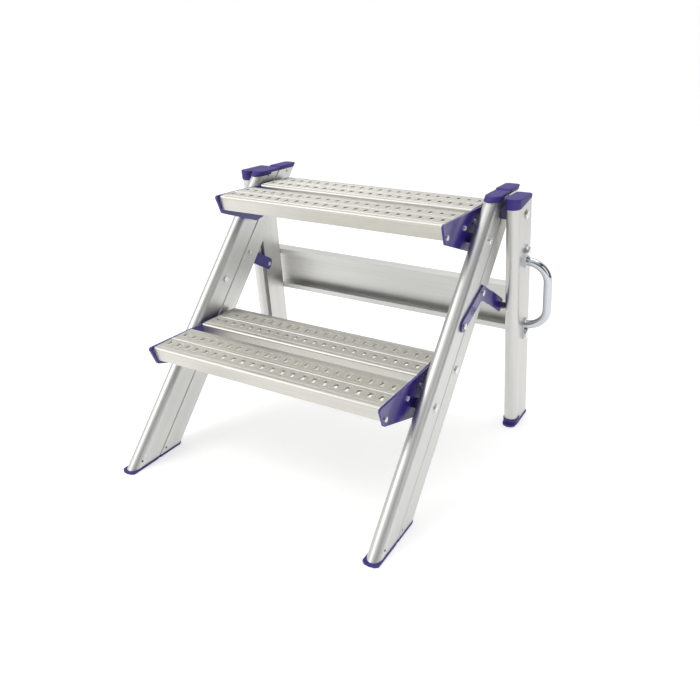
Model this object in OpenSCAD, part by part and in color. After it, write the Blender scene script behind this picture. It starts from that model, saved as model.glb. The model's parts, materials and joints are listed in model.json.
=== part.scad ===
// Folding two-step work platform.
// X is the width, -Y the climbing side, +Z up, and the floor is z = 0.
// Two places are used besides the world: the rail frame, whose Y runs from the nose of
// the front rail to its rear and whose Z runs up the rail, and the leg frame, whose
// origin is on the leg's hinge and whose Z runs up the leg.

/* [Frame] */
// Width over the two front rails
rail_span = 518; // [440:1:620]
// Slope of the rails from the floor, in degrees
rail_angle = 48.05; // [46:0.05:50]
// Height of the lower tread above the floor
lower_step_h = 226; // [205:0.5:240]
// Rise from the lower tread to the upper one
step_rise = 227.5; // [200:0.5:250]
// How far each tread's nose stands in front of the rails' front plane
nose_reach = 131.5; // [118:0.5:145]
// Underside of the rails' top caps, above the upper tread
cap_above_tread = 15.5; // [10:0.5:30]

/* [Rails] */
// Width of every rail and leg section
rail_w = 25.5; // [22:0.5:30]
// Depth of the front rail
front_rail_d = 49.5; // [45:0.5:60]
// Depth of the rear rail
rear_rail_d = 42.5; // [38:0.5:55]
// Wall of the rail and leg sections
rail_wall = 2; // [1.5:0.1:3]
// Slit between the closed front and rear rails
rail_slit = 0.4; // [0.3:0.05:1]

/* [Treads] */
// Depth of one tread plank, front to rear
plank_d = 101; // [96:0.5:110]
// Distance from one plank's nose to the next one's
plank_pitch = 129; // [124:0.5:140]
// Height of a plank's front face
plank_h = 27.5; // [26:0.5:34]
// Wall of the plank section
plank_wall = 2.2; // [1.8:0.1:3]
// Slots in one row
slot_count = 22; // [16:1:24]
// Distance between slots
slot_pitch = 20; // [17:0.5:20]
// Length of a slot, along the tread's depth
slot_l = 13; // [10:0.5:16]
// Width of a slot
slot_w = 6; // [4:0.5:8]
// Thickness of the side brackets
bracket_t = 4; // [3:0.5:5]
// Free space between a bracket and the rail beside it
bracket_clear = 8; // [7:0.5:12]

/* [Folding gear] */
// Depth of the front pivots behind the front plane of the rails
front_pivot_n = 28; // [24:0.5:32]
// Depth of the front pivots under the tread's top
front_pivot_drop = 48.4; // [46:0.2:54]
// Rail-wise distance from a front pivot to its rear pivot
link_s = 80; // [74:0.5:84]
// Depth from a front pivot to its rear pivot
link_n = 38.5; // [36:0.5:40]
// Radius of the pivot pins and of the leg bolt
pin_r = 5; // [4:0.25:6]
// Radial running clearance of every pivot
run_clear = 0.05; // [0.02:0.01:0.1]
// Distance down the rail from the leg's hinge to the stay's rear pivot
stay_below_hinge = 160.5; // [150:0.5:170]
// Thickness of the stays
stay_t = 3.4; // [3:0.1:4]
// Width of the stay between its two rail pivots
stay_w = 22; // [20:0.5:26]
// Width of the stay's arm
arm_w = 25; // [22:0.5:30]
// Rail-wise distance from the stay's rear pivot to its guide pin
arm_s = 29; // [27:0.5:31]
// Depth from the stay's rear pivot to its guide pin
arm_n = 113; // [110:0.5:116]
// Outward step of the arm
arm_step = 2.8; // [1:0.1:4]

/* [Rear legs] */
// Lean of the rear legs, in degrees
leg_lean = 9.3; // [8:0.1:11]
// Sideways splay of the rear legs, in degrees
leg_splay = 2; // [1:0.1:2.5]
// Depth of the leg section
leg_d = 77; // [70:1:84]
// Distance from the leg's front to its hinge
hinge_from_front = 44; // [40:0.5:46]
// Space between the rear rail and the leg, at the hinge
leg_gap = 10.4; // [9:0.1:14]
// Width of the guide groove in the leg
groove_w = 11; // [10:0.5:12.5]
// Depth of the guide groove
groove_d = 9.5; // [8:0.5:12]
// Height of the leg's square-cut end above the hinge
leg_top = 20.5; // [17:0.5:27]
// Height of the crossbar
bar_h = 97.5; // [80:0.5:110]
// Depth of the crossbar
bar_d = 22; // [16:0.5:26]
// Distance down the leg from the hinge to the crossbar's top
bar_below_hinge = 163.5; // [140:0.5:180]

/* [Handle] */
// Radius of the handle's rod
rod_r = 8; // [6:0.5:9]
// Distance between the handle's two arms
handle_h = 131; // [110:1:150]
// How far the rod's centre stands out from the leg
handle_out = 42.5; // [36:0.5:50]
// Distance down the leg from the hinge to the upper arm
handle_below_hinge = 92; // [80:1:110]

/* [Hidden] */

left = -1;
right = 1;
rail_out = rail_span / 2;
rail_in = rail_out - rail_w;
rail_x = rail_out - rail_w / 2;
bracket_out = rail_in - bracket_clear;
tread_half = bracket_out - bracket_t;
side_gap = 0.3;              // between a turning face and its neighbour
bore_slack = 0.02;           // between a pin and the hole that it is set in
upper_step_h = lower_step_h + step_rise;
far = 1000;

// World place (y, z) of a point given in the rail frame, and the other way round
function rail_yz(p) = [p.x * sin(rail_angle) + p.y * cos(rail_angle),
                       -p.x * cos(rail_angle) + p.y * sin(rail_angle)];
function rail_s_at(z, n) = (z + n * cos(rail_angle)) / sin(rail_angle);

// Pivots as (depth, height) in the rail frame
function front_pivot(h) = [front_pivot_n, rail_s_at(h - front_pivot_drop, front_pivot_n)];
link = [link_n, link_s];
lower_front = front_pivot(lower_step_h);
upper_front = front_pivot(upper_step_h);
lower_rear = lower_front + link;
hinge = upper_front + link;                     // upper rear pivot and leg hinge
stay_rear = hinge - [0, stay_below_hinge];
stay_front = stay_rear - link;
guide = stay_rear + [arm_n, arm_s];
hinge_yz = rail_yz(hinge);
guide_yz = rail_yz(guide);

// Nose of a tread's front plank, in the world
function nose_y(h) = h / tan(rail_angle) - nose_reach;

// Rear rail depth range in the rail frame
rear_n = front_rail_d + rail_slit;

// Feet and caps
sole_t = 4;
foot_lip = 1;
toe_out = 0.5;
toe_half = 8;
cap_t = 8;
front_cap_t = 5.5;
cap_skirt = 3.5;
cap_z = upper_step_h + cap_above_tread;
cap_lip = 1.5;
cap_chamfer = 5;
plug_h = 20;
plug_slack = 0.15;
snap_r = 2;

// Leg places in the leg frame
leg_x = rail_out + leg_gap + rail_w / 2;        // leg's middle at the hinge
leg_rear = leg_d - hinge_from_front;
groove_y = -(cos(leg_lean) * (hinge_yz.x - guide_yz.x) + sin(leg_lean) * (hinge_yz.y - guide_yz.y));
leg_cap_z = cap_z + 2.5;
leg_cap_chamfer = 4;
leg_sole_t = 5;
leg_boot_h = 15;
leg_boot_y = 28;
leg_toe_out = 8;
bar_half = leg_x + 11.5;
bar_t = 2;
bar_lip = 11;

// ---- shared shapes ----

function unit(v) = v / norm(v);
function arc_at(p, a, b, r, k) =
    r == 0 ? [p] :
    let (u = unit(a - p), v = unit(b - p), half = acos(u * v) / 2,
         c = p + unit(u + v) * r / sin(half), s = p + u * r / tan(half) - c,
         e = p + v * r / tan(half) - c, a0 = atan2(s.y, s.x),
         turn = (atan2(e.y, e.x) - a0 + 540) % 360 - 180)
    [for (i = [0:k]) c + r * [cos(a0 + turn * i / k), sin(a0 + turn * i / k)]];
// Outline through pts with corner i rounded by r[i]
function rounded(pts, r, k = 5) =
    let (n = len(pts))
    [for (i = [0:n - 1]) each arc_at(pts[i], pts[(i + n - 1) % n], pts[(i + 1) % n], r[i], k)];

module in_rail_frame() { rotate([rail_angle - 90, 0, 0]) children(); }

module in_leg_frame(side) {
    translate([side * leg_x, hinge_yz.x, hinge_yz.y])
        rotate([leg_lean, 0, 0]) rotate([0, -side * leg_splay, 0]) children();
}

// Leg frame without the splay, on the middle of the width
module in_bar_frame() {
    translate([0, hinge_yz.x, hinge_yz.y]) rotate([leg_lean, 0, 0]) children();
}

module on_side(side) { mirror([side < 0 ? 1 : 0, 0, 0]) children(); }

module both_sides() { for (side = [left, right]) on_side(side) children(); }

// Extrudes a (y, z) outline along X
module along_x(x0, x1) {
    translate([x0, 0, 0]) rotate([90, 0, 90]) linear_extrude(x1 - x0) children();
}

// Cylinder along X at a (y, z) place
module rod_x(x0, x1, r, at = [0, 0]) {
    translate([x0, at.x, at.y]) rotate([0, 90, 0]) cylinder(h = x1 - x0, r = r, $fn = 48);
}

module slab(z0, z1) { translate([-far, -far, z0]) cube([2 * far, 2 * far, z1 - z0]); }

// Section with a half-round nose: x is the width, y runs back from the nose
module nosed_section(w, d, grow = 0) {
    translate([0, w / 2]) circle(r = w / 2 + grow, $fn = 64);
    polygon(rounded([[-w / 2 - grow, w / 2], [w / 2 + grow, w / 2],
                     [w / 2 + grow, d + min(grow, 0)], [-w / 2 - grow, d + min(grow, 0)]],
                    [0, 0, 2.5, 2.5]));
}

module box_section(w, d0, d1, r) {
    polygon(rounded([[-w / 2, d0], [w / 2, d0], [w / 2, d1], [-w / 2, d1]], [r, r, r, r]));
}

module front_section(grow = 0) { nosed_section(rail_w, front_rail_d, grow); }

module rear_section(grow = 0, rear = 0) {
    box_section(rail_w + 2 * grow, rear_n - min(grow, 0), rear_n + rear_rail_d + rear, 2.5);
}

module along_rail() {
    in_rail_frame() translate([rail_x, 0, -60]) linear_extrude(far) children();
}

// ---- front and rear rails, all for the right side ----

module snap_hole(n, z) {
    in_rail_frame() rod_x(rail_in - 1, rail_out + 1, snap_r, [n, rail_s_at(z, n)]);
}

module front_rail() {
    difference() {
        intersection() {
            along_rail() difference() {
                front_section();
                front_section(-rail_wall);
            }
            slab(sole_t, cap_z);
        }
        in_rail_frame() for (p = [lower_front, upper_front, stay_front])
            rod_x(rail_in - 1, rail_out + 1, (p == stay_front ? 3 : pin_r) + bore_slack, p);
        snap_hole(10, sole_t + 11);
        snap_hole(front_rail_d / 2, cap_z - 5);
    }
}

module rear_rail() {
    difference() {
        intersection() {
            along_rail() difference() {
                rear_section();
                rear_section(-rail_wall, -rail_wall);
            }
            slab(sole_t, cap_z);
        }
        in_rail_frame() for (p = [lower_rear, hinge, stay_rear])
            rod_x(rail_in - 1, rail_out + 1, (p == stay_rear ? 3 : pin_r) + bore_slack, p);
        snap_hole(rear_n + 7, sole_t + 8);
        snap_hole(rear_n + rear_rail_d / 2 + 4, cap_z - 5);
    }
}

module front_half(y) { translate([-far, -2 * far + y]) square([2 * far, 2 * far]); }

// Plug that fills a section over one length, either side of a level cut
module plug(z0, z1) {
    intersection() {
        along_rail() children();
        slab(z0, z1);
    }
}

module front_rail_foot() {
    plug(0, sole_t) intersection() {
        front_section(foot_lip);
        front_half(front_rail_d);
    }
    translate([rail_x, 0, 0]) linear_extrude(sole_t)
        polygon([[-toe_half, -toe_out], [toe_half, -toe_out], [rail_w / 2 + foot_lip, 4],
                 [rail_w / 2 + foot_lip, 20], [-rail_w / 2 - foot_lip, 20],
                 [-rail_w / 2 - foot_lip, 4]]);
    plug(sole_t, sole_t + plug_h) front_section(-rail_wall - plug_slack);
}

module rear_rail_foot() {
    plug(0, sole_t) rear_section(foot_lip, foot_lip);
    plug(sole_t, sole_t + plug_h) rear_section(-rail_wall - plug_slack, -rail_wall - plug_slack);
}

module front_rail_cap() {
    plug(cap_z, cap_z + front_cap_t) intersection() {
        front_section(cap_lip);
        front_half(front_rail_d);
    }
    plug(cap_z - cap_skirt, cap_z + 1) difference() {
        intersection() {
            front_section(cap_lip);
            front_half(front_rail_d * 0.6);
        }
        front_section();
    }
    plug(cap_z - plug_h, cap_z) front_section(-rail_wall - plug_slack);
}

module rear_rail_cap() {
    end = rear_n + rear_rail_d + cap_lip;
    half = rail_w / 2 + cap_lip;
    plug(cap_z, cap_z + cap_t)
        polygon([[-half, rear_n], [half, rear_n], [half, end - cap_chamfer],
                 [half - cap_chamfer, end], [cap_chamfer - half, end], [-half, end - cap_chamfer]]);
    plug(cap_z - plug_h, cap_z) rear_section(-rail_wall - plug_slack, -rail_wall - plug_slack);
}

// ---- pivots ----

head_r = 7;
head_t = 2.4;
spacer_r = 8.5;

// Shouldered pivot: closed over inside the bracket and outside the rail
module pivot_pin(at) {
    in_rail_frame() {
        rod_x(tread_half - side_gap - 3, tread_half - side_gap, head_r, at);
        rod_x(tread_half - side_gap - 1, rail_out + 1, pin_r, at);
        rod_x(rail_out, rail_out + head_t, head_r, at);
    }
}

module pivot_spacer(at) {
    in_rail_frame() difference() {
        rod_x(bracket_out + side_gap, rail_in, spacer_r, at);
        rod_x(bracket_out, rail_in + 1, pin_r + bore_slack, at);
    }
}

stay_in = rail_out + side_gap + 0.1;
stay_out = stay_in + stay_t;

// Rivet that a stay turns on
module stay_rivet(at) {
    in_rail_frame() {
        rod_x(rail_in - 2, rail_in, 5.5, at);
        rod_x(rail_in - 1, stay_out + side_gap + 1, 3, at);
        rod_x(stay_out + side_gap, stay_out + side_gap + 2.2, 5.5, at);
    }
}

leg_out_at_hinge = leg_x + (rail_w / 2) / cos(leg_splay);

module leg_hinge_bolt() {
    in_rail_frame() {
        rod_x(tread_half - side_gap - 3, tread_half - side_gap, head_r, hinge);
        rod_x(tread_half - side_gap - 1, leg_out_at_hinge + 2, pin_r, hinge);
        rod_x(leg_out_at_hinge + 0.6, leg_out_at_hinge + 2.8, 8, hinge);
    }
}

// ---- treads ----

port_r = 3.5;
port_bore = 2.2;
rivet_y = [11.5, plank_d - 12];
rivet_z = [-22.5, -23.5];

// Front face leans back as it goes down
face_lean = 9.5;
rear_web = rivet_y.y + port_r - 1.2;

module plank_section() {
    w = plank_wall;
    mid = plank_d / 2;
    difference() {
        union() {
            polygon(rounded([[0, 0], [face_lean, -plank_h], [face_lean + 8, -plank_h],
                             [face_lean + 8, w - plank_h], [face_lean + w - 0.5, w - plank_h],
                             [w + 0.8, -w], [rear_web, -w], [rear_web, -plank_h],
                             [rear_web + w, -plank_h], [rear_web + w, -w], [plank_d, -w],
                             [plank_d, 0], [mid + 2.2, 0], [mid + 1.6, 0.8],
                             [mid - 1.6, 0.8], [mid - 2.2, 0]],
                            [4, 0.8, 0, 0, 0, 2, 0, 0, 0, 0, 1, 1, 0, 0, 0, 0]));
            for (i = [0, 1]) translate([rivet_y[i], rivet_z[i]]) circle(r = port_r, $fn = 32);
        }
        for (i = [0, 1]) translate([rivet_y[i], rivet_z[i]])
            circle(r = port_bore + bore_slack, $fn = 32);
    }
}

slot_row_y = [plank_d / 2 - 21, plank_d / 2 + 21];

module slot() {
    square([slot_w, slot_l - slot_w], center = true);
    for (k = [-1, 1]) translate([0, k * (slot_l - slot_w) / 2]) circle(r = slot_w / 2, $fn = 24);
}

// Plank number 0 is the front one
module plank(h, number) {
    translate([0, nose_y(h) + number * plank_pitch, h]) difference() {
        along_x(-tread_half, tread_half) plank_section();
        for (y = slot_row_y, i = [0:slot_count - 1])
            translate([(i - (slot_count - 1) / 2) * slot_pitch, y, -plank_wall - 1])
                linear_extrude(plank_wall + 3) slot();
    }
}

tread_d = plank_pitch + plank_d;

module bracket(h) {
    front = rail_yz(front_pivot(h)) - [nose_y(h), h];
    rear = rail_yz(front_pivot(h) + link) - [nose_y(h), h];
    outline = [[-8, 1], [8, -plank_h - 6.5], [front.x - 14, front.y - 20],
               [front.x + 14, front.y - 15], [rear.x + 16, rear.y - 13], [tread_d + 4, -9],
               [tread_d + 4, -2]];
    translate([0, nose_y(h), h]) difference() {
        along_x(tread_half, bracket_out) polygon(rounded(outline, [4, 5, 9, 12, 12, 4, 3]));
        for (p = [front, rear])
            rod_x(tread_half - 1, bracket_out + 1, pin_r + run_clear, p);
        for (i = [0, 1], k = [0, 1])
            rod_x(tread_half - 1, bracket_out + 1, port_bore + bore_slack,
                  [rivet_y[i] + k * plank_pitch, rivet_z[i]]);
    }
}

module tread_rivets(h) {
    translate([0, nose_y(h), h]) for (i = [0, 1], k = [0, 1]) {
        at = [rivet_y[i] + k * plank_pitch, rivet_z[i]];
        rod_x(tread_half - 14, bracket_out + 1, port_bore, at);
        rod_x(bracket_out, bracket_out + 2, 4.5, at);
    }
}

// ---- stays ----

arm_end = 9;
arm_a = atan2(arm_n, arm_s);                    // arm's angle from the rail's direction
arm_l = norm([arm_n, arm_s]);

module stay_outline() {
    difference() {
        union() {
            for (p = [stay_front, stay_rear]) translate(p) circle(r = stay_w / 2, $fn = 48);
            translate(stay_front) rotate(-atan2(link_n, link_s))
                translate([-stay_w / 2, 0]) square([stay_w, norm(link)]);
            translate(stay_rear) rotate(-arm_a)
                polygon([[-arm_w / 2, -stay_w * 0.3], [arm_w / 2, -stay_w * 0.3],
                         [arm_w / 2, arm_l + arm_end - 5], [arm_w / 2 - 6, arm_l + arm_end],
                         [-arm_w / 2 + 6, arm_l + arm_end], [-arm_w / 2, arm_l + arm_end - 5]]);
        }
        for (p = [stay_front, stay_rear]) translate(p) circle(r = 3 + run_clear, $fn = 48);
        translate(guide) circle(r = 2.5 + bore_slack, $fn = 48);
    }
}

// Side view of the stepped plate: x across the rails, y along the arm
module stay_fold() {
    polygon([[stay_in, -far], [stay_out, -far], [stay_out, 34], [stay_out + arm_step, 48],
             [stay_out + arm_step, far], [stay_in + arm_step, far],
             [stay_in + arm_step, 48.6], [stay_in, 34.6]]);
}

module stay() {
    in_rail_frame() intersection() {
        along_x(stay_in - 1, stay_out + arm_step + 1) stay_outline();
        translate([0, stay_rear.x, stay_rear.y]) rotate([90 - arm_a, 0, 0])
            translate([0, 0, -far / 2]) linear_extrude(far) stay_fold();
    }
}

guide_in = stay_in + arm_step;
leg_in_at_guide = rail_out + leg_gap + tan(leg_splay) * norm(hinge_yz - guide_yz);
guide_tip = leg_in_at_guide + 5.5;

module stay_guide_pin() {
    in_rail_frame() {
        rod_x(guide_in - 1.6, guide_in, 4.5, guide);
        rod_x(guide_in - 1, guide_tip, 2.5, guide);
    }
}

module stay_guide_bush() {
    in_rail_frame() difference() {
        union() {
            rod_x(guide_in + stay_t, leg_in_at_guide - 1.8, 6, guide);
            rod_x(guide_in + stay_t, guide_tip, 4, guide);
        }
        rod_x(guide_in, guide_tip + 1, 2.5 + bore_slack, guide);
    }
}

// ---- rear legs ----

module leg_section(grow = 0) {
    translate([0, -hinge_from_front]) nosed_section(rail_w, leg_d, grow);
}

// The groove is open towards the middle of the ladder
module groove_section(extra = 0) {
    translate([-rail_w / 2 - 1, groove_y - groove_w / 2 - extra])
        square([groove_d + 1 + extra, groove_w + 2 * extra]);
}

module rear_leg() {
    difference() {
        intersection() {
            in_leg_frame(right) translate([0, 0, leg_top - far]) linear_extrude(far)
                difference() {
                    leg_section();
                    difference() {
                        leg_section(-rail_wall);
                        groove_section(rail_wall);
                    }
                    groove_section();
                }
            slab(leg_sole_t, far);
        }
        rod_x(rail_out, leg_out_at_hinge + 5, pin_r + run_clear, hinge_yz);
    }
}

module down_the_leg() {
    in_leg_frame(right) translate([0, 0, -far]) linear_extrude(far) children();
}

module rear_leg_foot() {
    intersection() {
        down_the_leg() leg_section(cap_lip);
        slab(0, leg_sole_t);
    }
    intersection() {
        down_the_leg() translate([0, -leg_toe_out]) leg_section(cap_lip - 1);
        slab(0, leg_sole_t);
    }
    intersection() {
        down_the_leg() intersection() {
            difference() {
                leg_section(cap_lip);
                leg_section();
            }
            front_half(leg_boot_y - hinge_from_front);
        }
        slab(0, leg_boot_h);
    }
}

module rear_leg_cap() {
    c = leg_cap_chamfer;
    half = rail_w / 2 + cap_lip;
    intersection() {
        in_leg_frame(right) translate([0, 0, leg_top]) linear_extrude(60) intersection() {
            leg_section(cap_lip);
            polygon([[-half, -far], [half, -far], [half, leg_rear - c], [half - c, leg_rear],
                     [c - half, leg_rear], [-half, leg_rear - c]]);
        }
        slab(0, leg_cap_z);
    }
}

// Plastic block between the rear rail and the leg, fixed to the leg
module leg_hinge_block() {
    difference() {
        translate([0, hinge_yz.x, hinge_yz.y]) rotate([leg_lean, 0, 0])
            along_x(stay_in, leg_x) union() {
                circle(r = 10, $fn = 48);
                translate([5 - hinge_from_front, 1.5]) square([hinge_from_front + 4, 18.5]);
            }
        in_leg_frame(right) translate([0, 0, -100]) linear_extrude(200) leg_section();
        rod_x(rail_out, leg_x + 1, pin_r + run_clear, hinge_yz);
    }
}

bar_top = -bar_below_hinge;
bar_bottom = bar_top - bar_h;

module crossbar_outline() {
    difference() {
        translate([leg_rear, bar_bottom]) square([bar_d, bar_h]);
        translate([leg_rear + bar_t, bar_bottom + bar_t])
            square([bar_d - 2 * bar_t, bar_h - 2 * bar_t]);
        translate([leg_rear - 1, bar_bottom + bar_lip]) square([bar_t + 2, bar_h - 2 * bar_lip]);
    }
}

bar_rivet_z = [bar_top - bar_lip / 2 - 0.5, bar_bottom + bar_lip / 2 + 0.5];
bar_rivet_x = leg_x + 5;

module crossbar() {
    in_bar_frame() difference() {
        along_x(-bar_half, bar_half) crossbar_outline();
        for (side = [left, right], z = bar_rivet_z)
            translate([side * bar_rivet_x, leg_rear - 1, z]) rotate([-90, 0, 0])
                cylinder(h = bar_t + 2, r = 2.4 + bore_slack, $fn = 32);
    }
}

module crossbar_rivet_holes(side) {
    in_bar_frame() for (z = bar_rivet_z)
        translate([side * bar_rivet_x, leg_rear - rail_wall - 1, z]) rotate([-90, 0, 0])
            cylinder(h = rail_wall + 2, r = 2.4 + bore_slack, $fn = 32);
}

module crossbar_rivets() {
    in_bar_frame() for (side = [left, right], z = bar_rivet_z)
        translate([side * bar_rivet_x, leg_rear - rail_wall, z]) rotate([-90, 0, 0]) {
            translate([0, 0, -3]) cylinder(h = 3, r = 3.4, $fn = 32);
            translate([0, 0, -1]) cylinder(h = rail_wall + bar_t + 2, r = 2.4, $fn = 32);
            translate([0, 0, rail_wall + bar_t]) cylinder(h = 1.8, r = 3.9, $fn = 32);
        }
}

// ---- carrying handle, on the right leg's outer face ----

lug_t = 4;
screw_head_r = 10;
lug_screw = rod_r + screw_head_r + 0.8;
lug_w = 2 * (screw_head_r + 2.5);
lug_l = lug_screw + screw_head_r + rod_r + 6;
lug_y = 3;
handle_bend = 38;
face_x = rail_w / 2;
handle_top = -handle_below_hinge;
handle_bottom = handle_top - handle_h;

module lug(z, up) {
    translate([0, 0, z]) mirror([0, 0, up ? 0 : 1]) difference() {
        along_x(face_x, face_x + lug_t)
            polygon(rounded([[-lug_w / 2, -rod_r - 3], [lug_w / 2, -rod_r - 3],
                             [lug_w / 2, lug_l - rod_r - 3], [-lug_w / 2, lug_l - rod_r - 3]],
                            [10, 10, 12, 12], 8));
        rod_x(face_x - 1, face_x + lug_t + 1, 2.5 + bore_slack, [0, lug_screw]);
    }
}

module bend() {
    rotate([90, 0, 0]) rotate_extrude(angle = 90, $fn = 96)
        translate([handle_bend, 0]) circle(r = rod_r, $fn = 48);
}

module on_handle() { in_leg_frame(right) translate([0, lug_y, 0]) children(); }

module carry_handle() {
    bow_x = face_x + handle_out;
    on_handle() {
        lug(handle_top, true);
        lug(handle_bottom, false);
        for (z = [handle_top, handle_bottom]) rod_x(face_x + 1, bow_x - handle_bend, rod_r, [0, z]);
        translate([bow_x - handle_bend, 0, handle_top - handle_bend]) bend();
        translate([bow_x - handle_bend, 0, handle_bottom + handle_bend]) mirror([0, 0, 1]) bend();
        translate([bow_x, 0, handle_bottom + handle_bend])
            cylinder(h = handle_h - 2 * handle_bend, r = rod_r, $fn = 48);
    }
}

module carry_handle_screws() {
    on_handle() for (z = [handle_top + lug_screw, handle_bottom - lug_screw]) {
        rod_x(face_x - 9, face_x + lug_t + 1, 2.5, [0, z]);
        rod_x(face_x + lug_t, face_x + lug_t + 2.6, screw_head_r, [0, z]);
    }
}

module carry_handle_holes() {
    on_handle() for (z = [handle_top + lug_screw, handle_bottom - lug_screw])
        rod_x(face_x - rail_wall - 1, face_x + 1, 2.5 + bore_slack, [0, z]);
}

// ---- the pieces ----

// Reach of the whole object along X and Y. Its middle on the floor is the origin.
foot_reach = leg_x + (rail_w / 2 + cap_lip) / cos(leg_splay)
    + tan(leg_splay) * (hinge_yz.y + (leg_rear - 2.5) * sin(leg_lean)) / cos(leg_lean);
handle_reach = leg_x + (face_x + handle_out - handle_bend) * cos(leg_splay)
    - (handle_bottom + handle_bend) * sin(leg_splay) + handle_bend + rod_r;
front_reach = -max(foot_lip / sin(rail_angle), toe_out);
rear_reach = hinge_yz.x + leg_rear / cos(leg_lean) + tan(leg_lean) * hinge_yz.y;
middle = [(max(handle_reach, foot_reach) - foot_reach) / 2, (front_reach + rear_reach) / 2];

module placed() { translate([-middle.x, -middle.y, 0]) children(); }
module mill() { color([0.78, 0.79, 0.79]) placed() children(); }
module violet() { color([0.27, 0.21, 0.58]) placed() children(); }
module bright() { color([0.88, 0.88, 0.9]) placed() children(); }

module drilled_leg(side) {
    difference() {
        on_side(side) rear_leg();
        crossbar_rivet_holes(side);
        if (side == right) carry_handle_holes();
    }
}

mill() on_side(left) front_rail();  // front_rail_left
mill() front_rail();  // front_rail_right
violet() on_side(left) front_rail_foot();  // front_rail_foot_left
violet() front_rail_foot();  // front_rail_foot_right
violet() on_side(left) front_rail_cap();  // front_rail_cap_left
violet() front_rail_cap();  // front_rail_cap_right
bright() both_sides() for (p = [lower_front, upper_front]) pivot_pin(p);  // front_pivot_pins
violet() both_sides() for (p = [lower_front, upper_front]) pivot_spacer(p);  // front_pivot_spacers
bright() both_sides() stay_rivet(stay_front);  // stay_front_rivets

mill() on_side(left) rear_rail();  // rear_rail_left
mill() rear_rail();  // rear_rail_right
violet() on_side(left) rear_rail_foot();  // rear_rail_foot_left
violet() rear_rail_foot();  // rear_rail_foot_right
violet() on_side(left) rear_rail_cap();  // rear_rail_cap_left
violet() rear_rail_cap();  // rear_rail_cap_right
bright() both_sides() pivot_pin(lower_rear);  // rear_pivot_pins
violet() both_sides() for (p = [lower_rear, hinge]) pivot_spacer(p);  // rear_pivot_spacers
bright() both_sides() stay_rivet(stay_rear);  // stay_rear_rivets
bright() both_sides() leg_hinge_bolt();  // leg_hinge_bolts

mill() plank(upper_step_h, 0);  // upper_tread_front_plank
mill() plank(upper_step_h, 1);  // upper_tread_rear_plank
violet() on_side(left) bracket(upper_step_h);  // upper_tread_bracket_left
violet() bracket(upper_step_h);  // upper_tread_bracket_right
bright() both_sides() tread_rivets(upper_step_h);  // upper_tread_rivets
mill() plank(lower_step_h, 0);  // lower_tread_front_plank
mill() plank(lower_step_h, 1);  // lower_tread_rear_plank
violet() on_side(left) bracket(lower_step_h);  // lower_tread_bracket_left
violet() bracket(lower_step_h);  // lower_tread_bracket_right
bright() both_sides() tread_rivets(lower_step_h);  // lower_tread_rivets

violet() on_side(left) stay();  // stay_left
violet() stay();  // stay_right
bright() both_sides() stay_guide_pin();  // stay_guide_pins
violet() both_sides() stay_guide_bush();  // stay_guide_bushes

mill() drilled_leg(left);  // rear_leg_left
mill() drilled_leg(right);  // rear_leg_right
violet() on_side(left) rear_leg_foot();  // rear_leg_foot_left
violet() rear_leg_foot();  // rear_leg_foot_right
violet() on_side(left) rear_leg_cap();  // rear_leg_cap_left
violet() rear_leg_cap();  // rear_leg_cap_right
violet() both_sides() leg_hinge_block();  // leg_hinge_blocks
mill() crossbar();
bright() crossbar_rivets();
bright() carry_handle();
bright() carry_handle_screws();
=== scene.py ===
# %% [markdown]
# # A folding two-step platform in aluminium
# The real object is a small work platform: twin aluminium rails on each side, two treads
# of slotted planks, rear legs tied by a channel bar, and violet plastic feet and caps.
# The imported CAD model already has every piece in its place. This lesson keeps the pieces
# whose shape is right, gives them procedural finishes, and puts softer or richer pieces in
# place of those whose edges are too plain.

# %% Load the frame
import math

import bmesh
import bpy
from mathutils import Matrix, Vector
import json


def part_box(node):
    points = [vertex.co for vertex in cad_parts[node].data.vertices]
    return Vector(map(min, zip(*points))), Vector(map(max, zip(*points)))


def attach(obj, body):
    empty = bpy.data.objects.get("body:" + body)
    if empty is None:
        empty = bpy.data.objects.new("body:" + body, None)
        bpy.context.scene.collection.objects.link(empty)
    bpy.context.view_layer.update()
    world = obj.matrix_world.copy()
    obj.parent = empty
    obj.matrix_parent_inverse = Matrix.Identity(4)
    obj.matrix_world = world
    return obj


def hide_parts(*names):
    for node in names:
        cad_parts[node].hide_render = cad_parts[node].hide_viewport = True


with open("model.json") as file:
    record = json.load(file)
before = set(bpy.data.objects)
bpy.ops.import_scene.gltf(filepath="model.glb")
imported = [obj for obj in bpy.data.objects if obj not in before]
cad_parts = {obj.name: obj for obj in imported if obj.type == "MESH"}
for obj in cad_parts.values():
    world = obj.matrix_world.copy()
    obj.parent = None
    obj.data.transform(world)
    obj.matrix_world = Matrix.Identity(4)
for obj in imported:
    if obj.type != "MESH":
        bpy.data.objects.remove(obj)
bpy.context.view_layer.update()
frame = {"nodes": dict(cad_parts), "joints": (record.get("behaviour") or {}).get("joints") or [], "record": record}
nodes = frame["nodes"]
bodies = frame["record"]["behaviour"]["bodies"]
body_of_node = {name: body for body, members in bodies.items() for name in members}

# %% [markdown]
# ## Where things are
# The joints in the record say where the pivots are, and a node's box says where the node is.
# The rails slope at one angle, which follows from the pivots that the record holds. The
# rear legs lean back and splay a little. No pivot gives those two angles, so they are
# written here as numbers.

# %% Pivots and slopes
joint_at = {j["name"]: Vector(j["pos_m"]) for j in frame["joints"]}
upper_pivot, lower_pivot = joint_at["tread_fold"], joint_at["lower_tread_fold"]
hinge_at = joint_at["leg_fold"]
middle_x = hinge_at.x
rail_run = upper_pivot - lower_pivot
rail_slope = math.atan2(rail_run.z, rail_run.y)
leg_lean = math.radians(9.3)
leg_splay = math.radians(2)
print("rail slope", round(math.degrees(rail_slope), 2), "degrees")

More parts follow.
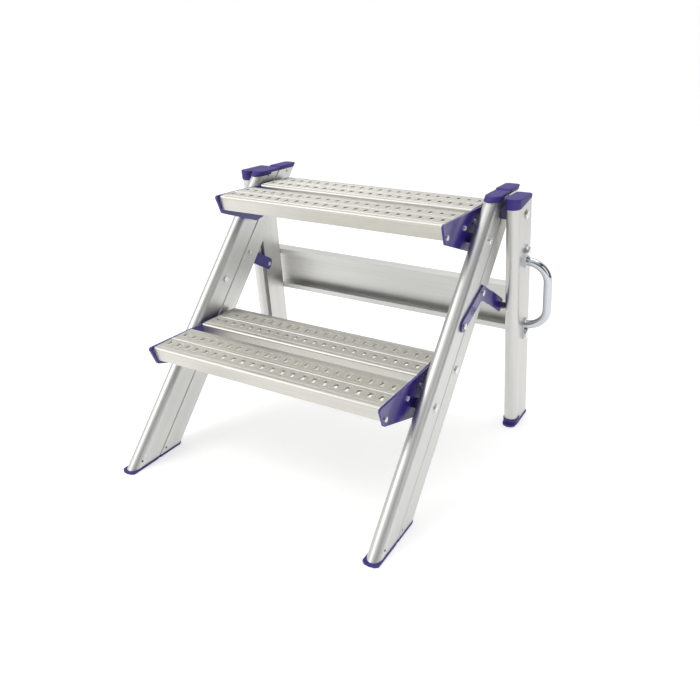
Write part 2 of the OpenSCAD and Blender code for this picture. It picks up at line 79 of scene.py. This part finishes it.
# %% [markdown]
# ## Shader maths as plain Python
# A finish is a graph of nodes. Wiring it by hand takes a line for every link, and a sum of
# three terms is then hard to read. Here one small class wraps a socket, so that an
# expression such as `0.3 + 0.1 * grain` adds its own Math nodes. Colours are mixed by a Mix
# node, because a Math node would turn them grey.

# %% A socket that can be added and multiplied
class Signal:
    """One output socket of a finish, with arithmetic."""

    def __init__(self, finish, socket):
        self.finish, self.socket = finish, socket

    def maths(self, operation, *values):
        return self.finish.node("ShaderNodeMath", {"operation": operation}, dict(enumerate(values)))

    def __add__(self, other):
        return self.maths("ADD", self, other)

    def __mul__(self, other):
        return self.maths("MULTIPLY", self, other)

    def __sub__(self, other):
        return self.maths("SUBTRACT", self, other)

    def __rsub__(self, other):
        return self.maths("SUBTRACT", other, self)

    __radd__, __rmul__ = __add__, __mul__


class Finish:
    """A material, and the few calls that build its graph."""

    def __init__(self, name):
        self.material = bpy.data.materials.new(name)
        self.material.use_nodes = True
        self.tree = self.material.node_tree
        self.shader = self.tree.nodes["Principled BSDF"]

    def node(self, kind, settings=None, inputs=None, output=0):
        made = self.tree.nodes.new(kind)
        for key, value in (settings or {}).items():
            if key == "stops":
                ramp = made.color_ramp
                for place, shade in value[:-2]:
                    ramp.elements.new(place)
                for stop, (place, shade) in zip(ramp.elements, value):
                    stop.position, stop.color = place, (shade, shade, shade, 1)
            else:
                setattr(made, key, value)
        self.plug(made, inputs or {})
        return Signal(self, made.outputs[output])

    def plug(self, target, inputs):
        for key, value in inputs.items():
            if isinstance(value, Signal):
                self.tree.links.new(value.socket, target.inputs[key])
            else:
                target.inputs[key].default_value = value

    def mix(self, factor, first, second):
        """A colour between two: colours are (r, g, b) or signals."""
        pair = [c if isinstance(c, Signal) else (*c, 1) for c in (first, second)]
        return self.node("ShaderNodeMix", {"data_type": "RGBA"},
                         {0: factor, 6: pair[0], 7: pair[1]}, 2)

    def place(self, turn=(0, 0, 0), scale=(1, 1, 1)):
        """Object coordinates, first turned and then stretched."""
        where = self.node("ShaderNodeTexCoord", output="Object")
        turned = self.node("ShaderNodeMapping", inputs={"Vector": where, "Rotation": turn})
        return self.node("ShaderNodeMapping", inputs={"Vector": turned, "Scale": scale})

    def noise(self, where, scale, detail=2.0, roughness=0.5):
        return self.node("ShaderNodeTexNoise", inputs={"Vector": where, "Scale": scale,
                                                       "Detail": detail, "Roughness": roughness})

    def ramp(self, signal, *stops):
        return self.node("ShaderNodeValToRGB", {"stops": stops}, {"Fac": signal})

    def relief(self, height, depth, strength=1.0):
        """A bump of a height signal, with its depth in metres."""
        return self.node("ShaderNodeBump", inputs={"Height": height, "Distance": depth,
                                                   "Strength": strength})

    def set(self, **values):
        """Values or signals for the shader's sockets; Base_Color stands for Base Color."""
        self.plug(self.shader, {key.replace("_", " "): value for key, value in values.items()})
        return self.material


# %% [markdown]
# ## Mill-finished aluminium
# Rails, legs, bar and planks are extrusions. The die leaves fine lines along the whole
# length, and handling adds broad soft patches and a few hairline scratches. A noise that is
# stretched along the extrusion gives the lines. It is turned first, so that one recipe
# serves a sloping rail, a leaning leg and a level plank. The lines drive colour, roughness
# and a very shallow bump.

# %% One recipe for every extrusion
def extruded(name, turn, tint, line_depth=0.000012, base_rough=0.3):
    """Aluminium whose extrusion runs along local Z once the coordinates are turned."""
    f = Finish(name)
    along = f.place(turn, (1, 1, 0.012))
    lines = f.noise(along, 520, 3, 0.6)
    bands = f.noise(along, 70, 2)
    patches = f.noise(f.place(turn, (1, 1, 0.3)), 9, 3, 0.6)
    hairlines = f.ramp(f.noise(f.place((turn[0] + 0.5, turn[1] + 0.3, 0.4), (1, 1, 0.02)), 330, 1),
                       (0.0, 1), (0.24, 1), (0.29, 0), (1.0, 0))
    marks = hairlines * f.ramp(patches, (0.0, 0), (0.5, 0), (0.66, 1), (1.0, 1))
    shade = 0.5 * lines + 0.3 * bands + 0.2 * patches
    dark = tuple(0.9 * c for c in tint)
    light = tuple(min(1.0, 1.07 * c) for c in tint)
    colour = f.mix(f.ramp(shade, (0.0, 0), (0.35, 0.1), (0.65, 0.9), (1.0, 1)), dark, light)
    colour = f.mix(marks * 0.35, colour, (0.9, 0.9, 0.9))
    rough = base_rough + 0.12 * lines + 0.14 * patches - marks * 0.08
    bump = f.relief(lines + marks * -0.6, line_depth)
    return f.set(Base_Color=colour, Metallic=1.0, Roughness=rough, Normal=bump)


upright_turn = (math.pi / 2 - rail_slope, 0, 0)
rail_finish = extruded("Rail aluminium", upright_turn, (0.69, 0.69, 0.67))
leg_finish = {side: extruded(f"Leg aluminium {side}", (-leg_lean, sign * leg_splay, 0),
                             (0.66, 0.655, 0.63))
              for side, sign in (("left", -1), ("right", 1))}
bar_finish = extruded("Bar aluminium", (0, -math.pi / 2, 0), (0.68, 0.68, 0.66))
plank_finish = extruded("Plank aluminium", (0, -math.pi / 2, 0), (0.67, 0.66, 0.61), 0.00002, 0.3)
print("aluminium finishes", 5)

# %% [markdown]
# ## Violet plastic and violet enamel
# The feet and caps are moulded in a violet-blue plastic with a fine spark-eroded texture:
# a dense noise in the bump, a faint change of tone, and scuffs that turn it paler and
# duller. The brackets and stays are steel with glossy enamel in nearly the same hue, with
# the slight waviness of sprayed paint. Both stay dielectric, so their highlights are white.

# %% Plastics and paint
def moulded(name, deep, pale, rough):
    f = Finish(name)
    where = f.place()
    grain = f.noise(where, 1900, 2, 0.6)
    cloud = f.noise(where, 38, 4, 0.6)
    scuffs = f.ramp(f.noise(f.place(scale=(1, 0.3, 1)), 160, 3, 0.7),
                    (0.0, 0), (0.6, 0), (0.72, 1), (1.0, 1))
    tone = f.mix(cloud * 0.6 + scuffs * 0.25, deep, pale)
    return f.set(Base_Color=tone, Roughness=rough + 0.1 * grain + 0.1 * scuffs,
                 Normal=f.relief(grain, 0.00006, 0.6), IOR=1.5)


def enamelled(name, deep, pale):
    f = Finish(name)
    where = f.place()
    peel = f.noise(where, 420, 2)
    cloud = f.noise(where, 24, 3)
    specks = f.ramp(f.noise(where, 900, 1), (0.0, 0), (0.74, 0), (0.78, 1), (1.0, 1))
    tone = f.mix(cloud * 0.7 + specks * 0.2, deep, pale)
    return f.set(Base_Color=tone, Roughness=0.16 + 0.06 * cloud + 0.1 * specks,
                 Normal=f.relief(peel, 0.00001, 0.5), Coat_Weight=0.3)


violet_plastic = moulded("Violet plastic", (0.030, 0.014, 0.185), (0.052, 0.028, 0.255), 0.5)
# Blocks, bushes and spacers: blue plastic in a darker navy copy of the moulded finish, darkened as painted shade
# for pieces that sit between parts.
blue_plastic_painted_shade = moulded("Blue plastic with painted shade", (0.020, 0.016, 0.075), (0.04, 0.03, 0.12), 0.4)
violet_enamel = enamelled("Violet enamel", (0.028, 0.012, 0.2), (0.04, 0.02, 0.245))

# %% [markdown]
# ## Bright hardware
# The handle is chromed: nearly a mirror, with a trace of buffing and fingerprints. Rivets
# and screws are zinc plated, less even, and a little rougher.

# %% Chrome and zinc
def plated(name, tint, rough, spread):
    f = Finish(name)
    where = f.place()
    smears = f.ramp(f.noise(where, 55, 5, 0.65), (0.0, 0), (0.45, 0.1), (0.7, 1), (1.0, 1))
    buffing = f.noise(f.place((0.3, 0.2, 0), (1, 1, 0.06)), 700, 2)
    tone = f.mix(smears * 0.3, tint, tuple(0.82 * c for c in tint))
    return f.set(Base_Color=tone, Metallic=1.0, Roughness=rough + spread * smears + 0.03 * buffing,
                 Normal=f.relief(buffing, 0.000006, 0.5))


chrome = plated("Chrome", (0.60, 0.62, 0.66), 0.04, 0.06)
zinc = plated("Zinc plate", (0.78, 0.78, 0.76), 0.2, 0.16)

# %% [markdown]
# ## Rounded copies of hard-edged pieces
# Nothing moulded or pressed has a razor edge. A CAD node's mesh may not be changed, so the
# piece is copied, its loose corners merged, and its sharp edges bevelled. The copy then
# stands for the node. The front feet, the brackets and the stays keep the CAD mesh: their
# faces meet at narrow angles, where a bevel would reach past the piece.

# %% Helpers for pieces
def keep(name, bm, material, body, stands_for=(), smooth=35, closed=True):
    """Turns a bmesh into a finished piece that rides on a body."""
    if closed:
        bmesh.ops.recalc_face_normals(bm, faces=bm.faces)
    mesh = bpy.data.meshes.new(name)
    bm.to_mesh(mesh)
    bm.free()
    mesh.shade_smooth()
    mesh.set_sharp_from_angle(angle=math.radians(smooth))
    mesh.materials.append(material)
    piece = bpy.data.objects.new(name, mesh)
    bpy.context.scene.collection.objects.link(piece)
    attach(piece, body)
    if stands_for:
        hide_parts(*stands_for)
    return piece


def merged_copy(node):
    bm = bmesh.new()
    bm.from_mesh(nodes[node].data)
    bmesh.ops.remove_doubles(bm, verts=bm.verts, dist=2e-6)
    return bm


def softened(node, width, material, segments=3, corner=30):
    """A rounded copy of a node, shown in its place."""
    bm = merged_copy(node)
    sharp = [e for e in bm.edges if len(e.link_faces) == 2
             and e.calc_face_angle() > math.radians(corner)]
    bmesh.ops.bevel(bm, geom=sharp, offset=width, segments=segments, profile=0.5,
                    affect="EDGES", clamp_overlap=False, material=-1)
    return keep(node + ".soft", bm, material, body_of_node[node], [node])


# %% [markdown]
# ## A finish for every node
# A node's name says what it is, so one function looks for the word that decides its finish.
# The vertices and faces of the CAD meshes stay as they are: a material is assigned, and the
# shading is set smooth up to an angle.

# %% Which node gets which finish
def finish_for(node):
    side = "left" if node.endswith("left") else "right"
    if node.startswith("rear_leg_" + side):
        return leg_finish[side]
    if "plank" in node:
        return plank_finish
    if node == "crossbar":
        return bar_finish
    if "foot" in node or "cap" in node:
        return violet_plastic
    if "bracket" in node or node in ("stay_left", "stay_right"):
        return violet_enamel
    # Pieces between parts take the blue plastic darkened as painted shade.
    if "spacers" in node or "bushes" in node or "blocks" in node:
        return blue_plastic_painted_shade
    if node == "carry_handle":
        return chrome
    if node.split("_")[-1] in ("pins", "rivets", "bolts", "screws"):
        return zinc
    return rail_finish


for name, node in nodes.items():
    node.data.materials.clear()
    node.data.materials.append(finish_for(name))
    node.data.shade_smooth()
    node.data.set_sharp_from_angle(angle=math.radians(30))

rounded_widths = {"rear_rail_foot": 0.0009, "rear_leg_foot": 0.0009, "cap": 0.0011,
                  "blocks": 0.0008}
for name in nodes:
    for word, width in rounded_widths.items():
        if word in name:
            softened(name, width, finish_for(name))
            break

# %% [markdown]
# ## Domed heads
# Pressed rivets and screws end in a low dome with a small dimple at its centre. The CAD
# heads are flat discs, so a dome is spun for each and laid on its disc. The places come from
# the separate solids in each group of fasteners.

# %% Spin a dome on every head
def islands(node):
    """The boxes of the separate solids in one node, always in the same order."""
    bm = merged_copy(node)
    seen, boxes = set(), []
    for start in bm.verts:
        if start in seen:
            continue
        seen.add(start)
        edge = [start]
        low, high = start.co.copy(), start.co.copy()
        while edge:
            v = edge.pop()
            low = Vector(map(min, low, v.co))
            high = Vector(map(max, high, v.co))
            for near in (e.other_vert(v) for e in v.link_edges):
                if near not in seen:
                    seen.add(near)
                    edge.append(near)
        boxes.append((low, high))
    bm.free()
    return boxes


def dome(bm, centre, axis, radius, height, dimple=0.3):
    """A low dome with a dimple, whose foot is a circle round centre."""
    axis = Vector(axis).normalized()
    side = axis.orthogonal().normalized()
    shape = [(1.0, -0.3), (1.0, 0.12), (0.93, 0.45), (0.78, 0.75), (0.55, 0.95),
             (dimple + 0.08, 1.0), (dimple, 0.93), (0.6 * dimple, 0.62), (0.0, 0.55)]
    points = [bm.verts.new(centre + side * (radius * r) + axis * (height * h)) for r, h in shape]
    edges = [bm.edges.new(pair) for pair in zip(points, points[1:])]
    bmesh.ops.spin(bm, geom=points + edges, cent=centre, axis=axis, dvec=(0, 0, 0),
                   angle=2 * math.pi, steps=28, use_merge=True, use_duplicate=False)
    bmesh.ops.remove_doubles(bm, verts=bm.verts, dist=2e-6)


def domes_along_x(node, height, share=0.97):
    """Domes on the outer ends of fasteners that lie along X."""
    bm = bmesh.new()
    for low, high in islands(node):
        outward = 1 if (low.x + high.x) / 2 > middle_x else -1
        centre = (low + high) / 2
        centre.x = high.x if outward > 0 else low.x
        dome(bm, centre, (outward, 0, 0), share * (high.z - low.z) / 2, height)
    return keep(node + ".domes", bm, zinc, body_of_node[node])


for node, height in (("front_pivot_pins", 0.0011), ("rear_pivot_pins", 0.0011),
                     ("stay_front_rivets", 0.0009), ("stay_rear_rivets", 0.0009),
                     ("upper_tread_rivets", 0.0009), ("lower_tread_rivets", 0.0009),
                     ("leg_hinge_bolts", 0.0013), ("carry_handle_screws", 0.0016)):
    made = domes_along_x(node, height)
    print(made.name, len(made.data.polygons), "faces")

# %% [markdown]
# ## Ribs and raised slot rims
# The planks have a non-slip top: fine ribs run from end to end, broken where the slots are,
# and every slot has a rim that the punch has pushed up. The CAD plank gives the plate and
# its holes. The ribs are long wedges, made from a cube whose top is pinched. A rim starts
# as a disc that is stretched to the slot's outline, and three insets raise its edge, run
# level and turn down into the slot, before the middle is taken out. Insets skip an open
# boundary unless they are told to use it. Each plank has forty-four slots, so a rim stays
# at a few dozen faces.

# %% Slots of a plank
SLOT_COUNT, SLOT_PITCH = 22, 0.020
SLOT_LENGTH, SLOT_WIDTH = 0.013, 0.006
ROW_OFFSET = 0.021
NOSE_BAND, REAR_BAND, MIDDLE_BAND = 0.0135, 0.0095, 0.0042
RIB_PITCH, RIB_WIDTH, RIB_HEIGHT = 0.0026, 0.0013, 0.0007
RIM_FOOT, RIM_LIFT = 0.0018, 0.0006
RIDGE_HEIGHT, END_GAP = 0.0008, 0.0005
RIB_TO_SLOT_END, RIB_TO_SLOT_SIDE = 0.0018, 0.0017
NOSE_LINES = ((0.0095, 0.0018, 0.0005), (0.0115, 0.0012, 0.0004))   # from nose, width, height


def wedge(bm, x0, x1, y, z, width, height):
    """A long low rib: a box with its top pinched in."""
    size = Matrix.Diagonal((x1 - x0, width, height * 2, 1))
    place = Matrix.Translation(((x0 + x1) / 2, y, z))
    made = bmesh.ops.create_cube(bm, size=1, matrix=place @ size)
    for v in made["verts"]:
        if v.co.z > z:
            v.co.y = y + (v.co.y - y) * 0.35


def rim(bm, x, y, z, lift):
    """A raised lip round one slot: a disc is stretched, inset upwards, inset level, and opened."""
    straight = (SLOT_LENGTH - SLOT_WIDTH) / 2
    place = Matrix.Translation((x, y, z)) @ Matrix.Rotation(math.pi / 16, 4, "Z")
    made = bmesh.ops.create_circle(bm, cap_ends=True, segments=16,
                                   radius=SLOT_WIDTH / 2 + RIM_FOOT, matrix=place)
    for v in made["verts"]:
        v.co.y += straight if v.co.y > y else -straight
    disc = [made["verts"][0].link_faces[0]]
    disc[0].normal_update()
    if disc[0].normal.z < 0:
        disc[0].normal_flip()
    for share, rise in ((0.6, lift), (0.38, 0), (0.005, -lift - 0.0004)):
        bmesh.ops.inset_region(bm, faces=disc, thickness=RIM_FOOT * share, depth=rise,
                               use_boundary=True, use_even_offset=True)
    bmesh.ops.delete(bm, geom=disc, context="FACES_ONLY")


def tread_relief(node):
    low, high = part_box(node)
    top = high.z - RIDGE_HEIGHT
    mid = low.y + (high.y - low.y) / 2
    rows = [mid - ROW_OFFSET, mid + ROW_OFFSET]
    x_start, x_end = low.x + END_GAP, high.x - END_GAP
    ribs, rims = bmesh.new(), bmesh.new()
    centres = [middle_x + (i - (SLOT_COUNT - 1) / 2) * SLOT_PITCH for i in range(SLOT_COUNT)]
    y = low.y + NOSE_BAND
    lines = 0
    while y < high.y - REAR_BAND:
        if abs(y - mid) > MIDDLE_BAND:
            lines += 1
            if min(abs(y - r) for r in rows) < SLOT_LENGTH / 2 + RIB_TO_SLOT_END:
                gap = SLOT_WIDTH / 2 + RIB_TO_SLOT_SIDE
                stops = [x_start, *(c + s * gap for c in centres for s in (-1, 1)), x_end]
                for x0, x1 in zip(stops[::2], stops[1::2]):
                    if x1 - x0 > 0.001:
                        wedge(ribs, x0, x1, y, top, RIB_WIDTH, RIB_HEIGHT)
            else:
                wedge(ribs, x_start, x_end, y, top, RIB_WIDTH, RIB_HEIGHT)
        y += RIB_PITCH
    for offset, width, height in NOSE_LINES:
        wedge(ribs, x_start, x_end, low.y + offset, top, width, height)
    for row in rows:
        for x in centres:
            rim(rims, x, row, top, RIM_LIFT)
    body = body_of_node[node]
    keep(node + ".ribs", ribs, plank_finish, body)
    made = keep(node + ".rims", rims, plank_finish, body, closed=False)
    return lines, len(made.data.polygons)


for node in [n for n in nodes if "plank" in n]:
    print(node, "rib lines and rim faces", *tread_relief(node))

# %% [markdown]
# ## Floor, light and camera
# The floor is pale and plain, and the light is that of a white studio: one broad soft panel
# high on the left, a lower one on the right, and a bright room all round that the metal can
# mirror. The room is darker low down and on one side, which gives the polished edges
# something to reflect. The camera itself sees the background as plain white.

# %% The studio
FLOOR_REACH, FLOOR_DROP = 12.0, -0.0002


def floor():
    """White paper, lit from within a little so that it stays white up to the horizon."""
    f = Finish("Floor paper")
    mottle = f.noise(f.place(), 3, 2)
    paper = f.set(Base_Color=f.mix(mottle, (0.74, 0.74, 0.74), (0.76, 0.76, 0.76)), Roughness=0.7,
                  Emission_Color=(1, 1, 1, 1), Emission_Strength=0.47, Specular_IOR_Level=0.1)
    bm = bmesh.new()
    bmesh.ops.create_grid(bm, x_segments=1, y_segments=1, size=FLOOR_REACH,
                          matrix=Matrix.Translation((0, 0, FLOOR_DROP)))
    mesh = bpy.data.meshes.new("floor")
    bm.to_mesh(mesh)
    bm.free()
    mesh.materials.append(paper)
    made = bpy.data.objects.new("floor", mesh)
    bpy.context.scene.collection.objects.link(made)
    print("floor side in m", round(max(v.co.x for v in mesh.vertices) * 2, 2),
          "faces up", mesh.polygons[0].normal.z > 0)


def panel(name, at, aim, size, power):
    lamp = bpy.data.lights.new(name, "AREA")
    lamp.shape, lamp.size, lamp.size_y, lamp.energy = "RECTANGLE", size[0], size[1], power
    made = bpy.data.objects.new(name, lamp)
    bpy.context.scene.collection.objects.link(made)
    made.location = at
    made.rotation_mode = "QUATERNION"
    made.rotation_quaternion = (Vector(aim) - Vector(at)).to_track_quat("-Z", "Y")


def room():
    """A bright room that is darker low down and on the side of the person who looks."""
    world = bpy.data.worlds.new("White room")
    bpy.context.scene.world = world
    world.use_nodes = True
    tree = world.node_tree

    def add(kind, settings=(), **links):
        made = tree.nodes.new(kind)
        for key, value in settings:
            setattr(made, key, value)
        for key, value in links.items():
            socket = made.inputs[int(key[1:])]
            if isinstance(value, bpy.types.NodeSocket):
                tree.links.new(value, socket)
            else:
                socket.default_value = value
        return made

    way = add("ShaderNodeTexCoord").outputs["Generated"]
    height = add("ShaderNodeSeparateXYZ", _0=way).outputs["Z"]
    dark_way = add("ShaderNodeVectorMath", [("operation", "DOT_PRODUCT")], _0=way,
                   _1=(math.sin(DARK_SIDE), -math.cos(DARK_SIDE), 0.0)).outputs["Value"]
    lift = add("ShaderNodeMapRange", [("interpolation_type", "SMOOTHSTEP")],
               _0=height, _1=-0.1, _2=0.9, _3=0.55, _4=1.0).outputs[0]
    dim = add("ShaderNodeMapRange", [("interpolation_type", "SMOOTHSTEP")],
              _0=dark_way, _1=0.35, _2=0.95, _3=1.0, _4=0.3).outputs[0]
    card = add("ShaderNodeVectorMath", [("operation", "DOT_PRODUCT")], _0=way,
               _1=Vector(DARK_CARD).normalized()).outputs["Value"]
    black = add("ShaderNodeMapRange", [("interpolation_type", "SMOOTHSTEP")],
                _0=card, _1=0.72, _2=0.9, _3=1.0, _4=0.03).outputs[0]
    mirrored = add("ShaderNodeMath", [("operation", "MULTIPLY")], _0=lift, _1=dim).outputs[0]
    mirrored = add("ShaderNodeMath", [("operation", "MULTIPLY")], _0=mirrored, _1=black).outputs[0]
    direct = add("ShaderNodeLightPath").outputs["Is Camera Ray"]
    shown = add("ShaderNodeMath", [("operation", "MAXIMUM")], _0=mirrored, _1=direct).outputs[0]
    tree.links.new(shown, tree.nodes["Background"].inputs["Color"])


DARK_SIDE = math.radians(40)
DARK_CARD = (0.85, 0.0, 0.5)
floor()
panel("Key panel", (-1.6, -1.6, 2.2), (0, 0, 0.25), (1.6, 1.6), 22)
panel("Fill panel", (2.2, -0.6, 1.2), (0, 0, 0.25), (1.2, 1.6), 7)
panel("Top panel", (0.2, 0.8, 2.6), (0, 0, 0.3), (2.0, 1.2), 12)
room()

# %% [markdown]
# ## The camera
# Azimuth, elevation and a small roll give the direction, and a place and a lens complete
# it. Depth of field and shift stay off, so that other views can move the camera freely.

# %% The camera
AZIMUTH, ELEVATION, ROLL = (math.radians(a) for a in (29.15, 23.79, 0.33))
forward = Vector((-math.sin(AZIMUTH) * math.cos(ELEVATION),
                  math.cos(AZIMUTH) * math.cos(ELEVATION), -math.sin(ELEVATION)))
level = forward.cross((0, 0, 1)).normalized()
upward = level.cross(forward)
right = math.cos(ROLL) * level + math.sin(ROLL) * upward
upward = right.cross(forward)
camera = bpy.data.cameras.new("camera")
camera.sensor_width, camera.lens = 36.0, 35.82
camera.clip_start, camera.clip_end = 0.05, 50
seen = bpy.data.objects.new("camera", camera)
bpy.context.scene.collection.objects.link(seen)
seen.matrix_world = Matrix.Translation((0.59836, -1.02349, 0.71243)) @ Matrix(
    (right, upward, -forward)).transposed().to_4x4()
bpy.context.scene.camera = seen
bpy.context.scene.view_settings.view_transform = "Standard"

# %% [markdown]
# ## The last cell
# It only imports json once more.

# %% The last line
import json
